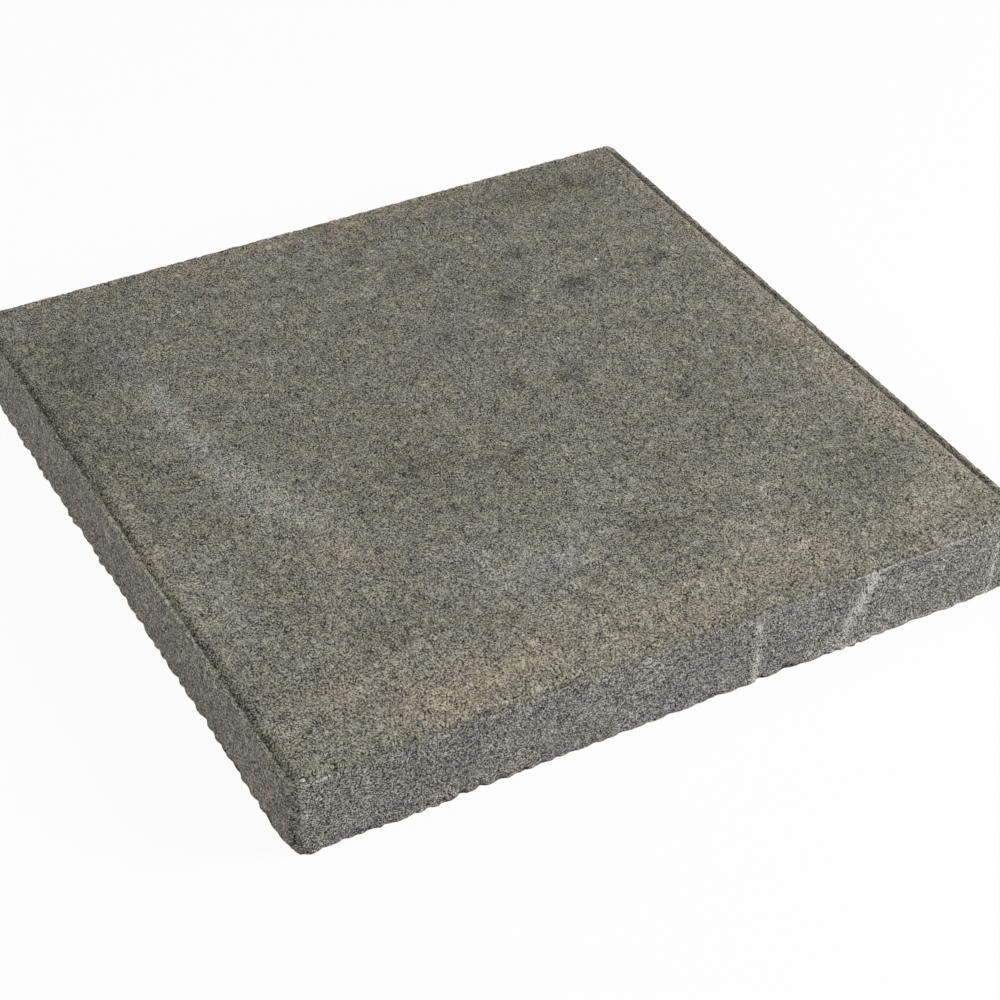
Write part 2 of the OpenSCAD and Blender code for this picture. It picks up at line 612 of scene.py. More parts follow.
@dataclass(frozen=True)
class Relief:
    """What the press, the mould and wear leave on the skin, always cut inwards."""

    least: float = 0.02
    top_depth: float = 0.30
    side_depth: float = 0.22
    bed_depth: float = 0.25
    wave: Texture = Texture(11, 60.0, 2)
    wave_depth: float = 0.12
    clump: Texture = Texture(12, 6.0, 3, 0.7)
    clump_depth: float = 0.20
    pits: Texture = Texture(13, 4.0, 2, 0.6, 0.22, 0.62)
    pit_depth: float = 0.54
    small_pits: Texture = Texture(14, 2.6, 1, low=0.25, high=0.6)
    small_pit_depth: float = 0.36
    worn: Texture = Texture(15, 9.0, 3, 0.65, -0.1, 0.75)
    worn_depth: float = 1.3
    worn_reach: float = 2.2
    bed_wave: Texture = Texture(16, 45.0, 2)
    teeth: Texture = Texture(17, 7.0, 3, 0.6, 0.15, 0.7)
    teeth_depth: float = 1.3
    teeth_height: float = 4.0
    teeth_stretch: tuple[float, float, float] = (1.0, 1.0, 0.2)
    broken_from: float = 0.4
    broken_to: float = 1.2
    broken_depth: float = 0.5
    broken_clump: float = 1.0
    nicks: Marks = (
        *marks(
            (1.5, 293, 50, 4.5, 5), (1.6, 243, 50, 2.5, 4), (1.6, 275, 50, 2.2, 4),
            (1.6, 150, 50, 1.8, 4), (1.4, 131, 50, 1.8, 4), (1.5, 117, 50, 1.6, 4),
            (1.4, 105, 50, 1.6, 4), (1.6, 94, 50, 1.8, 4), (1.8, 41, 50, 2.0, 4),
            face=Face.FRONT,
        ),
        *marks(
            (1.6, 111, 50, 4.5, 6), (1.6, 72, 50, 4.5, 6), (1.6, 30, 50, 4.0, 6),
            (1.0, 147, 50, 2.5, 5), (1.0, 125, 50, 2.2, 5), (1.0, 99, 50, 2.2, 5),
            (1.0, 84, 50, 2.0, 5), (1.0, 59, 50, 2.0, 5), (1.0, 46, 50, 2.2, 5),
            face=Face.LEFT,
        ),
    )
    holes: Marks = marks(
        (1.2, 260, 238, 3.0, 2.2, 30), (0.6, 295, 232, 3.4, 3.0), (0.8, 257, 93, 4.5, 1.5, 15),
        (0.9, 54, 330, 6.0, 1.2, 8), (0.9, 80, 327, 3.0, 1.2), (1.4, 152, 2, 3.5, 2.5),
        (1.2, 382, 4, 3.0, 2.5),
    )

    def depth(self, surface: Surface) -> Array:
        """How far each point sinks below the CAD solid.

        Args:
            surface: The skin's points.

        Returns:
            One depth for each point.
        """
        p = surface.points
        clump = self.clump.at(p)
        rough = self.clump_depth * clump + self.pit_depth * self.pits.share(p)
        rough += self.small_pit_depth * self.small_pits.share(p)
        top = self.top_depth + self.wave_depth * self.wave.at(p) + rough
        edge = np.exp(-((surface.inset / self.worn_reach) ** 2))
        top += self.worn_depth * self.worn.share(p) * edge
        top += sum(deep * spot.share(surface) for deep, spot in self.holes)
        foot = np.exp(-((p[:, 2] / self.teeth_height) ** 2))
        side = self.side_depth + rough
        side += self.teeth_depth * self.teeth.share(p * self.teeth_stretch) * foot
        side += sum(deep * spot.share(surface) for deep, spot in self.nicks)
        bed = self.bed_depth * (1 + self.bed_wave.at(p))
        broken = smooth_step(self.broken_from, self.broken_to, p[:, 2]) * surface.on_bed
        bed += broken * (self.broken_depth + self.broken_clump * clump)
        found = top * surface.on_top + side * surface.on_joint_face + bed * surface.on_bed
        return np.maximum(found, self.least)

    def cut(self, surface: Surface) -> Array:
        """Cuts the relief into the skin's points.

        Args:
            surface: The skin's points, which are moved.

        Returns:
            How deep each point was cut.
        """
        depth = self.depth(surface)
        surface.points = surface.points - surface.outward * depth[:, None]
        surface.points[:, 2] = np.clip(surface.points[:, 2], 0.0, surface.plan.height)
        return depth


# ---------------------------------------------------------------- weathering and painted shade

class Tint(Enum):
    """What a patch does to the colour under it, as shares of red, green and blue."""

    CREAM = (1.36, 1.31, 1.23)
    STRAW = (1.42, 1.29, 1.06)
    SHELL = (1.34, 1.28, 1.24)
    LILAC = (1.26, 1.31, 1.46)
    CHALK = (1.30, 1.42, 1.53)
    SAGE = (1.05, 1.14, 1.03)
    MOSS = (0.90, 0.94, 0.89)
    OLIVE = (0.75, 0.75, 0.70)
    SLATE = (0.86, 0.88, 0.98)
    # Painted shade of clusters of large open pores.
    UMBER = (0.70, 0.65, 0.58)
    SOOT = (0.46, 0.44, 0.44)
    CLAY = (1.06, 1.00, 0.955)
    RUST = (1.30, 0.96, 0.78)
    # Dirt and painted shade, which darken the groove behind the lip.
    DIRT = (0.80, 0.78, 0.72)

    def over(self, cast: Array, share: Array) -> Array:
        """The colour shares after this tint is laid over them."""
        return cast * (1.0 + share[:, None] * (np.array(self.value) - 1.0))


@dataclass(frozen=True)
class Streak:
    """Lime that has bled out along a line on one face."""

    face: Face
    start: tuple[float, float]
    end: tuple[float, float]
    width: float
    strength: float

    def share(self, surface: Surface, stray: Stray) -> Array:
        """How strong the streak is at each point of the skin.

        Args:
            surface: The skin's points.
            stray: How far each point is read off its place.

        Returns:
            Values from 0 to the streak's strength.
        """
        u, v, belongs = surface.on(self.face)
        u, v = u + stray[0] - self.start[0], v + stray[1] - self.start[1]
        run, fall = self.end[0] - self.start[0], self.end[1] - self.start[1]
        t = np.clip((u * run + v * fall) / (run**2 + fall**2), 0, 1)
        away = np.hypot(u - t * run, v - t * fall)
        return self.strength * np.exp(-((away / self.width) ** 2)) * belongs


@dataclass(frozen=True)
class WeatheringAndShade:
    """Patches of colour, bleeding lime, dirt with painted shade in the groove, and painted shade
    of pores and hollows.
    """

    fray: float = 7.0
    fray_along: Texture = Texture(21, 18.0)
    fray_across: Texture = Texture(22, 18.0)
    streak_fray: float = 0.15
    streak_gaps: Texture = Texture(26, 7.0, 3, 0.6, -0.7, 0.1)
    lip_lime: float = 0.35
    lip_reach: float = 1.6
    lip_height: float = 4.0
    arris_at: float = 1.0
    arris_blend: float = 1.0
    arris_fray: float = 1.8
    arris: Texture = Texture(23, 6.0, 3, 0.7)
    # Depths over which cut hollows are painted darker, as painted shade.
    hollow_from: float = 0.4
    hollow_to: float = 1.4
    # The groove behind the lip is darkened, partly as dirt and partly as painted shade.
    groove_at: float = 4.6
    groove_w: float = 1.8
    groove_pores: float = 2.0
    groove_fray: float = 0.7
    groove_edge: Texture = Texture(24, 9.0, 3, 0.6)
    groove_gaps: Texture = Texture(25, 16.0, 3, 0.6, -0.9, 0.2)
    grooves: tuple[tuple[Face, float], ...] = ((Face.LEFT, 0.3), (Face.BACK, 0.1))
    patches: tuple[tuple[Tint, Marks], ...] = (
        (Tint.CREAM, marks(
            (0.55, 235, 27, 195, 20), (0.6, 110, 20, 55, 12), (0.35, 190, 11, 60, 8),
            (0.6, 412, 38, 18, 13, 35), (0.2, 360, 18, 40, 8), (0.95, 7, 178, 7, 75),
        )),
        (Tint.SHELL, marks(
            (0.3, 160, 52, 110, 12), (0.5, 60, 48, 34, 9), (0.5, 302, 56, 26, 22, -20),
            (0.45, 330, 92, 18, 22, -25), (0.65, 437, 150, 14, 110), (0.3, 437, 238, 10, 45),
            (0.45, 443, 370, 6, 80), (0.3, 438, 62, 12, 22), (0.65, 97, 150, 20, 28),
            (0.35, 65, 85, 30, 16, -30),
        )),
        (Tint.LILAC, marks(
            (0.35, 308, 58, 18, 16, -20), (0.8, 200, 87, 46, 16, 6), (0.35, 172, 80, 10, 10),
            (0.4, 155, 112, 30, 16), (0.25, 270, 250, 44, 16, 10), (0.6, 27, 140, 10, 34),
            (0.2, 12, 38, 6, 9),
        )),
        (Tint.CHALK, marks(
            (0.35, 412, 36, 14, 12, 35), (0.6, 65, 328, 20, 9, 98), (0.75, 70, 282, 34, 10, 93),
            (0.85, 78, 230, 22, 13, 102), (0.85, 91, 194, 17, 12, 110),
            (0.35, 80, 380, 60, 5, 41), (0.45, 250, 127, 14, 12),
        )),
        (Tint.SAGE, marks((1.0, 357, 284, 10, 10))),
        (Tint.MOSS, marks((0.6, 388, 75, 38, 32))),
        (Tint.OLIVE, marks((0.75, 25, 360, 28, 62, -18), (0.6, 25, 275, 18, 45))),
        (Tint.STRAW, marks((0.5, 215, 442, 140, 6))),
        (Tint.SLATE, marks(
            (0.6, 245, 300, 46, 16, 30), (0.9, 315, 345, 34, 7, 58), (0.9, 62, 368, 12, 26),
        )),
        (Tint.UMBER, marks(
            (0.25, 165, 205, 42, 34), (0.7, 385, 418, 40, 16, -8), (0.4, 285, 424, 26, 7),
            (0.5, 173, 188, 12, 14), (0.5, 219, 179, 12, 10), (0.85, 260, 88, 17, 13),
            (0.45, 405, 84, 20, 12), (0.45, 86, 73, 13, 11), (0.25, 60, 128, 13, 13),
        )),
        # Painted shade: dark spots where large pores cluster.
        (Tint.SOOT, marks(
            (1.0, 298, 320, 9, 7, 40), (0.95, 341, 312, 9, 7, -20), (1.0, 402, 316, 8, 7),
            (0.8, 326, 362, 8, 6), (0.65, 268, 370, 7, 6), (0.55, 230, 402, 7, 6),
            (0.7, 150, 312, 7, 6), (0.7, 256, 241, 8, 6), (0.7, 292, 229, 8, 6),
            (0.85, 344, 186, 8, 7), (0.6, 347, 147, 7, 7), (0.5, 31, 356, 9, 6),
        )),
        (Tint.RUST, marks((0.6, 25, 32, 5, 8), face=Face.LEFT)),
        (Tint.CLAY, marks((1.0, 225, 25, 600, 200), face=Face.LEFT)),
        # A darker strip down the left face beside its front corner.
        (Tint.UMBER, marks((0.5, 4, 25, 7, 60), face=Face.LEFT)),
        (Tint.UMBER, marks((0.18, 70, 25, 80, 60), face=Face.FRONT)),
    )
    streaks: tuple[Streak, ...] = (
        Streak(Face.FRONT, (112, 0), (112, 50), 1.6, 0.6),
        Streak(Face.FRONT, (271, 9), (272, 50), 3.8, 1.05),
        Streak(Face.FRONT, (345, 5), (325, 47), 5.4, 1.1),
        Streak(Face.FRONT, (330, 0), (423, 0), 1.6, 0.9),
        Streak(Face.FRONT, (430, 12), (428, 50), 2.0, 0.9),
        Streak(Face.FRONT, (330, 48), (410, 48), 1.4, 0.8),
        Streak(Face.FRONT, (7, 0), (20, 0), 2.0, 0.9),
        Streak(Face.LEFT, (345, 5), (345, 40), 1.4, 0.6),
        Streak(Face.LEFT, (277, 5), (277, 40), 1.4, 0.6),
        Streak(Face.LEFT, (183, 5), (183, 40), 1.4, 0.6),
    )

    def dress(self, piece: bpy.types.Object, surface: Surface, depth: Array) -> None:
        """Stores colour shares with dirt and painted shade, lime, face masks and the hollows'
        painted shade.

        Args:
            piece: The skin.
            surface: Its points.
            depth: How deep each point was cut.
        """
        p = surface.points
        stray = (self.fray * self.fray_along.at(p), self.fray * self.fray_across.at(p))
        cast = np.ones((len(p), 3))
        for tint, spots in self.patches:
            for strength, spot in spots:
                cast = tint.over(cast, strength * spot.share(surface, stray))
        # Darkening of the groove, partly dirt and partly painted shade. It also opens more pores
        # there.
        dirt_and_shade = self.groove_dirt_and_shade(surface)
        open_paste = 1.0 - cast.mean(axis=1) + self.groove_pores * dirt_and_shade
        on_joint = surface.on_joint_face == 1
        past_arris = np.where(on_joint, surface.down - self.arris_at, -surface.inset)
        past_arris = past_arris + self.arris_fray * self.arris.at(p)
        joint_face = smooth_step(-self.arris_blend, self.arris_blend, past_arris)
        write_values(piece, "cast", Tint.DIRT.over(cast, dirt_and_shade))
        write_values(piece, "lime", self.lime(surface, stray))
        write_values(piece, "open", open_paste)
        write_values(piece, "joint_face", joint_face)
        # Painted shade: the deeper a point is cut, the darker it is painted.
        write_values(piece, "hollow_shade", smooth_step(self.hollow_from, self.hollow_to, depth))

    def lime(self, surface: Surface, stray: Stray) -> Array:
        """Lime that has bled out in streaks and gathered on the lip.

        Args:
            surface: The skin's points.
            stray: How far the patches are read off their places.

        Returns:
            Values from 0 to about 1.
        """
        near = (self.streak_fray * stray[0], self.streak_fray * stray[1])
        found = sum(streak.share(surface, near) for streak in self.streaks)
        found *= self.streak_gaps.share(surface.points)
        on_lip = np.exp(-((surface.inset / self.lip_reach) ** 2))
        return found + self.lip_lime * on_lip * (surface.down < self.lip_height)

    def groove_dirt_and_shade(self, surface: Surface) -> Array:
        """Darkening in the groove behind the lip: partly gathered dirt, partly painted shade.

        Args:
            surface: The skin's points.

        Returns:
            Values from 0 to 1.
        """
        x, y, on_top = surface.on(Face.TOP)
        from_face = {Face.LEFT: x, Face.BACK: 2 * surface.plan.half_y - y}
        uneven = self.groove_fray * self.groove_edge.at(surface.points)
        found = np.zeros(len(x))
        for face, strength in self.grooves:
            away = (from_face[face] - self.groove_at + uneven) / self.groove_w
            found += strength * np.exp(-(away**2))
        found *= self.groove_gaps.share(surface.points)
        return np.minimum(found, 1.0) * on_top


# ---------------------------------------------------------------- shader building

Key = Union[int, str]
Value = Union["Wire", float, Sequence[float]]
Owner = Union[bpy.types.Material, bpy.types.World]


@dataclass(frozen=True)
class Lumps:
    """Noise with lumps of about one size, in millimetres, and the strength of finer ones."""

    size: float
    detail: float = 2.0
    roughness: float = 0.5


@dataclass(frozen=True)
class Wire:
    """One output of a node. Python's operators on it add Math nodes."""

    net: "Net"
    node: bpy.types.Node
    output: Key

    @property
    def socket(self) -> bpy.types.NodeSocket:
        """The output's socket."""
        return self.net.pick(self.node.outputs, self.output)

    def other(self, output: Key) -> "Wire":
        """Another output of the same node."""
        return Wire(self.net, self.node, output)

    def math(self, operation: str, first: Value, second: Value) -> "Wire":
        """A Math node on two values."""
        return self.net.add("ShaderNodeMath", {0: first, 1: second}, operation=operation)

    def __add__(self, other: Value) -> "Wire":
        """Self plus a value."""
        return self.math("ADD", self, other)

    def __sub__(self, other: Value) -> "Wire":
        """Self minus a value."""
        return self.math("SUBTRACT", self, other)

    def __rsub__(self, other: Value) -> "Wire":
        """A value minus self."""
        return self.math("SUBTRACT", other, self)

    def __mul__(self, other: Value) -> "Wire":
        """Self times a value."""
        return self.math("MULTIPLY", self, other)

    __radd__ = __add__
    __rmul__ = __mul__

    def step(self, low: float, high: float) -> "Wire":
        """Eases self from 0 at low to 1 at high."""
        values = {"Value": self, "From Min": low, "From Max": high}
        return self.net.add("ShaderNodeMapRange", values, interpolation_type="SMOOTHSTEP")

    def between(self, low: float, high: float) -> "Wire":
        """The number that lies self's share of the way from low to high."""
        return low + (high - low) * self


class Net:
    """The nodes of one material, or of the world."""

    def __init__(self, owner: Owner) -> None:
        """Empties the owner's node tree.

        Args:
            owner: The new material or world.
        """
        self.owner = owner
        owner.use_nodes = True
        self.tree = owner.node_tree
        self.tree.nodes.clear()

    @staticmethod
    def pick(sockets: Any, key: Key) -> bpy.types.NodeSocket:
        """Finds a socket by its identifier, its name or its number."""
        return next((s for s in sockets if s.identifier == key), None) or sockets[key]

    def add(self, kind: str, values: Optional[dict[Key, Value]] = None, output: Key = 0,
            **settings: Any) -> Wire:
        """Adds a node.

        Args:
            kind: The node's type.
            values: What its inputs take, as numbers or wires.
            output: Which of its outputs is wanted.
            settings: Its settings, which are set before its inputs.

        Returns:
            That output.
        """
        node = self.tree.nodes.new(kind)
        for key, value in settings.items():
            setattr(node, key, value)
        for key, value in (values or {}).items():
            socket = self.pick(node.inputs, key)
            if isinstance(value, Wire):
                self.tree.links.new(value.socket, socket)
            else:
                socket.default_value = value
        return Wire(self, node, output)

    def place(self) -> Wire:
        """Where a point of the piece is, in millimetres."""
        return self.scaled(self.add("ShaderNodeTexCoord", output="Object"), 1 / MM)

    def scaled(self, vector: Value, factor: Value) -> Wire:
        """A vector or a colour times a number."""
        values = {"Vector": vector, "Scale": factor}
        return self.add("ShaderNodeVectorMath", values, operation="SCALE")

    def joined(self, operation: str, first: Value, second: Value) -> Wire:
        """A Vector Math node on two vectors or colours."""
        return self.add("ShaderNodeVectorMath", {0: first, 1: second}, operation=operation)

    def noise(self, place: Wire, lumps: Lumps, output: str = "Fac") -> Wire:
        """Noise at a place in millimetres, as values round 0.5 or as a colour."""
        values = {"Scale": 1 / lumps.size, "Detail": lumps.detail, "Roughness": lumps.roughness}
        return self.add("ShaderNodeTexNoise", {"Vector": place, **values}, output)

    def cells(self, place: Wire, size: float, feature: str = "F1") -> Wire:
        """Distance to the nearest grain's middle, or to its border, for grains of one size."""
        values = {"Vector": place, "Scale": 1 / size}
        return self.add("ShaderNodeTexVoronoi", values, "Distance", feature=feature)

    def mix(self, first: Value, second: Value, share: Value) -> Wire:
        """The colour that lies a share of the way from the first to the second."""
        values = dict(A_Color=self.solid(first), B_Color=self.solid(second), Factor_Float=share)
        return self.add("ShaderNodeMix", values, "Result_Color", data_type="RGBA")

    @staticmethod
    def solid(colour: Value) -> Value:
        """Gives a plain colour the fourth value that a socket wants."""
        return colour if isinstance(colour, Wire) else (*colour, 1.0)

    def draw(self, grains: Wire) -> Wire:
        """A random number from 0 to 1 for each grain."""
        return self.add("ShaderNodeSeparateColor", {"Color": grains.other("Color")}, "Red")

    def kept(self, name: str, output: str = "Fac") -> Wire:
        """What the mesh stores under a name."""
        return self.add("ShaderNodeAttribute", output=output, attribute_name=name)

    def looked_at(self) -> Wire:
        """1 where a surface is looked at, directly, mirrored or through glass, or else 0."""
        seen = self.add("ShaderNodeLightPath", output="Is Camera Ray")
        return seen + seen.other("Is Glossy Ray") + seen.other("Is Transmission Ray")

    def finish(self, colour: Wire, roughness: Value, height: Wire, relief: float) -> None:
        """Ends the material in one shader.

        Args:
            colour: Its base colour.
            roughness: Its roughness.
            height: How high each point stands, in millimetres.
            relief: How strongly that shows.
        """
        values = {"Height": height, "Distance": MM, "Strength": relief}
        normal = self.add("ShaderNodeBump", values)
        values = {"Base Color": colour, "Roughness": roughness, "Normal": normal}
        shader = self.add("ShaderNodeBsdfPrincipled", values)
        self.add("ShaderNodeOutputMaterial", {"Surface": shader})


# ---------------------------------------------------------------- finishes

Span = tuple[float, float]
Shift = tuple[float, float, float]


@dataclass(frozen=True)
class Drift:
    """A slow change between two shades, read so far apart that no two of them coincide."""

    first: Colour
    second: Colour
    lumps: Lumps
    apart: Shift


@dataclass(frozen=True)
class ConcreteFinish:
    """Pressed concrete: grey paste round sand and small stones, with open pores painted in dark
    shade.

    A fade holds the two levels between which something fades in. The other spans hold a value at
    0 and at 1 of what drives them, which for sand_contrast, sand_height and pit_clumps is the
    share of the joint faces.
    """

    wearing: Colour = paint(131.5, 127.4, 117)
    joint: Colour = paint(151, 148, 141.5)
    lime: Colour = paint(212, 209, 200)
    # Painted shade: the near-black colour inside open pores and holes.
    pore_shade: Colour = paint(18, 14, 10)
    level: float = 1.13
    drifts: tuple[Drift, ...] = (
        Drift((1.05, 1.00, 0.94), (0.96, 1.00, 1.04), Lumps(30, 3, 0.75), (90, 40, 10)),
        Drift((0.98, 1.01, 0.98), (1.025, 0.99, 1.015), Lumps(14, 3, 0.75), (10, 140, 60)),
    )
    drift_fade: Span = (0.25, 0.75)
    joint_calm: float = 0.5
    draw_out: Shift = (1.0, 0.72, 1.0)
    stray: Lumps = Lumps(2.5, 0.0)
    grain_stray: float = 1.2
    gap_stray: float = 0.6
    sand: float = 0.6
    sand_contrast: Span = (0.75, 0.99)
    sand_height: Span = (0.2, 0.5)
    sand_roughness: Span = (0.95, 0.80)
    crumb: float = 3.0
    crumb_tone: Span = (0.86, 1.14)
    cloud: Lumps = Lumps(26, 4, 0.8)
    cloud_tone: Span = (0.52, 1.48)
    stone: float = 7.0
    stone_fade: Span = (0.60, 0.62)
    rim_fade: Span = (0.24, 0.34)
    stone_tone: float = 0.16
    stone_height: float = 0.45
    # How strongly the painted shade darkens the cut hollows.
    hollow_darkening: float = 0.35
    clump: Lumps = Lumps(7, 3, 0.75)
    gap: float = 1.5
    gap_weight: float = 1.2
    pit: Lumps = Lumps(0.9, 2, 0.6)
    pit_clumps: Span = (0.36, 0.22)
    pit_stone: float = 0.07
    pit_open: float = 0.10
    pit_joint: float = 0.02
    pit_fade: Span = (0.554, 0.566)
    pit_depth: float = 1.5
    hole: Lumps = Lumps(3.2, 2, 0.7)
    hole_clumps: float = 0.4
    hole_stone: float = 0.1
    hole_open: float = 0.12
    hole_fade: Span = (0.270, 0.290)
    hole_depth: float = 1.0
    speckle: Lumps = Lumps(1.1, 2, 0.7)
    speckle_lime: float = 0.42
    speckle_fade: Span = (0.73, 0.79)
    relief: float = 1.0

    def material(self) -> bpy.types.Material:
        """Builds the finish.

        Returns:
            The material.
        """
        net = Net(bpy.data.materials.new("concrete"))
        real = net.place()
        place = net.joined("MULTIPLY", real, self.draw_out)
        stray = net.joined("SUBTRACT", net.noise(place, self.stray, "Color"), (0.5, 0.5, 0.5))
        bent = net.joined("ADD", place, net.scaled(stray, self.grain_stray))
        on_joint = net.kept("joint_face")
        sand = net.cells(place, self.sand)
        sand_tone = net.draw(sand)
        stone = self.stones(net, bent)
        pit, hole = self.pores(net, place, stray, stone, on_joint)

        contrast = on_joint.between(*self.sand_contrast)
        tone = 1.0 - contrast + 2.0 * contrast * sand_tone
        tone = tone * net.draw(net.cells(bent, self.crumb)).between(*self.crumb_tone)
        tone = tone * net.noise(real, self.cloud).between(*self.cloud_tone)
        # Painted shade: darker where the relief is cut deep.
        tone = (tone + self.stone_tone * stone) * (1.0 - self.hollow_darkening * net.kept("hollow_shade"))
        base = net.scaled(self.paste(net, real, on_joint), self.level * tone)
        speckle = net.noise(bent, self.speckle) + self.speckle_lime * net.kept("lime")
        base = net.mix(base, self.lime, speckle.step(*self.speckle_fade))
        # Painted shade: open pores and holes are painted near black.
        base = net.mix(base, self.pore_shade, 1.0 - (1.0 - pit) * (1.0 - hole))
        height = on_joint.between(*self.sand_height) * (1.0 - sand)
        height = height + self.stone_height * stone
        height = height - self.pit_depth * pit - self.hole_depth * hole
        net.finish(base, sand_tone.between(*self.sand_roughness), height, self.relief)
        return net.owner

    def stones(self, net: Net, bent: Wire) -> Wire:
        """Small stones in the face, 1 on a stone and 0 beside it."""
        stones = net.cells(bent, self.stone)
        return net.draw(stones).step(*self.stone_fade) * (1.0 - stones.step(*self.rim_fade))

    def pores(self, net: Net, place: Wire, stray: Wire, stone: Wire,
              on_joint: Wire) -> tuple[Wire, Wire]:
        """Open pores between the grains, and larger holes where paste is missing.

        Args:
            net: The material's nodes.
            place: Where the pores are read.
            stray: What bends the gaps between the grains.
            stone: The stones, which close the pores.
            on_joint: Share of the joint faces.

        Returns:
            The pores and the holes, each 1 inside and 0 outside.
        """
        opened = net.kept("open")
        clumps = net.noise(place, self.clump) - 0.5
        border = net.joined("ADD", place, net.scaled(stray, self.gap_stray))
        closed = self.gap_weight * net.cells(border, self.gap, "DISTANCE_TO_EDGE")
        closed = closed + net.noise(place, self.pit)
        closed = closed + on_joint.between(*self.pit_clumps) * clumps + self.pit_stone * stone
        closed = closed - self.pit_open * opened - self.pit_joint * on_joint
        pit = 1.0 - closed.step(*self.pit_fade)
        closed = net.noise(place, self.hole) + self.hole_clumps * clumps
        closed = closed + self.hole_stone * stone - self.hole_open * opened
        return pit, 1.0 - closed.step(*self.hole_fade)

    def paste(self, net: Net, real: Wire, on_joint: Wire) -> Wire:
        """The paste's colour without its grain, with the patches and the slow drifts.

        Args:
            net: The material's nodes.
            real: Where a point is.
            on_joint: Share of the joint faces.

        Returns:
            The colour.
        """
        base = net.mix(self.wearing, self.joint, on_joint)
        base = net.joined("MULTIPLY", base, net.kept("cast", "Color"))
        for drift in self.drifts:
            share = net.noise(net.joined("ADD", real, drift.apart), drift.lumps)
            shade = net.mix(drift.first, drift.second, share.step(*self.drift_fade))
            shade = net.mix(shade, (1.0, 1.0, 1.0), self.joint_calm * on_joint)
            base = net.joined("MULTIPLY", base, shade)
        return base


@dataclass(frozen=True)
class StoneFinish:
    """Bare stone of the mix, which takes its colour from each pebble."""

    mottle: Lumps = Lumps(0.9, 3, 0.6)
    tone: Span = (0.7, 1.3)
    roughness: Span = (0.65, 0.95)
    relief: float = 0.3

    def material(self) -> bpy.types.Material:
        """Builds the finish.

        Returns:
            The material.
        """
        net = Net(bpy.data.materials.new("stone"))
        mottle = net.noise(net.place(), self.mottle)
        colour = net.scaled(net.kept("stone", "Color"), mottle.between(*self.tone))
        net.finish(colour, mottle.between(*self.roughness), mottle, self.relief)
        return net.owner


# ---------------------------------------------------------------- pebbles

class Stone(Enum):
    """Kinds of stone in the mix, by colour."""

    CREAM = paint(178, 170, 146)
    PINK = paint(158, 140, 130)
    RUST = paint(162, 138, 108)
    WHITE = paint(196, 192, 182)
    GREY = paint(136, 133, 126)
    DARK = paint(92, 88, 82)


@dataclass(frozen=True)
class Pebble:
    """One pebble that shows in the wearing face."""

    x: float
    y: float
    long: float
    wide: float
    turn: float
    stone: Stone
    rise: float = 0.25


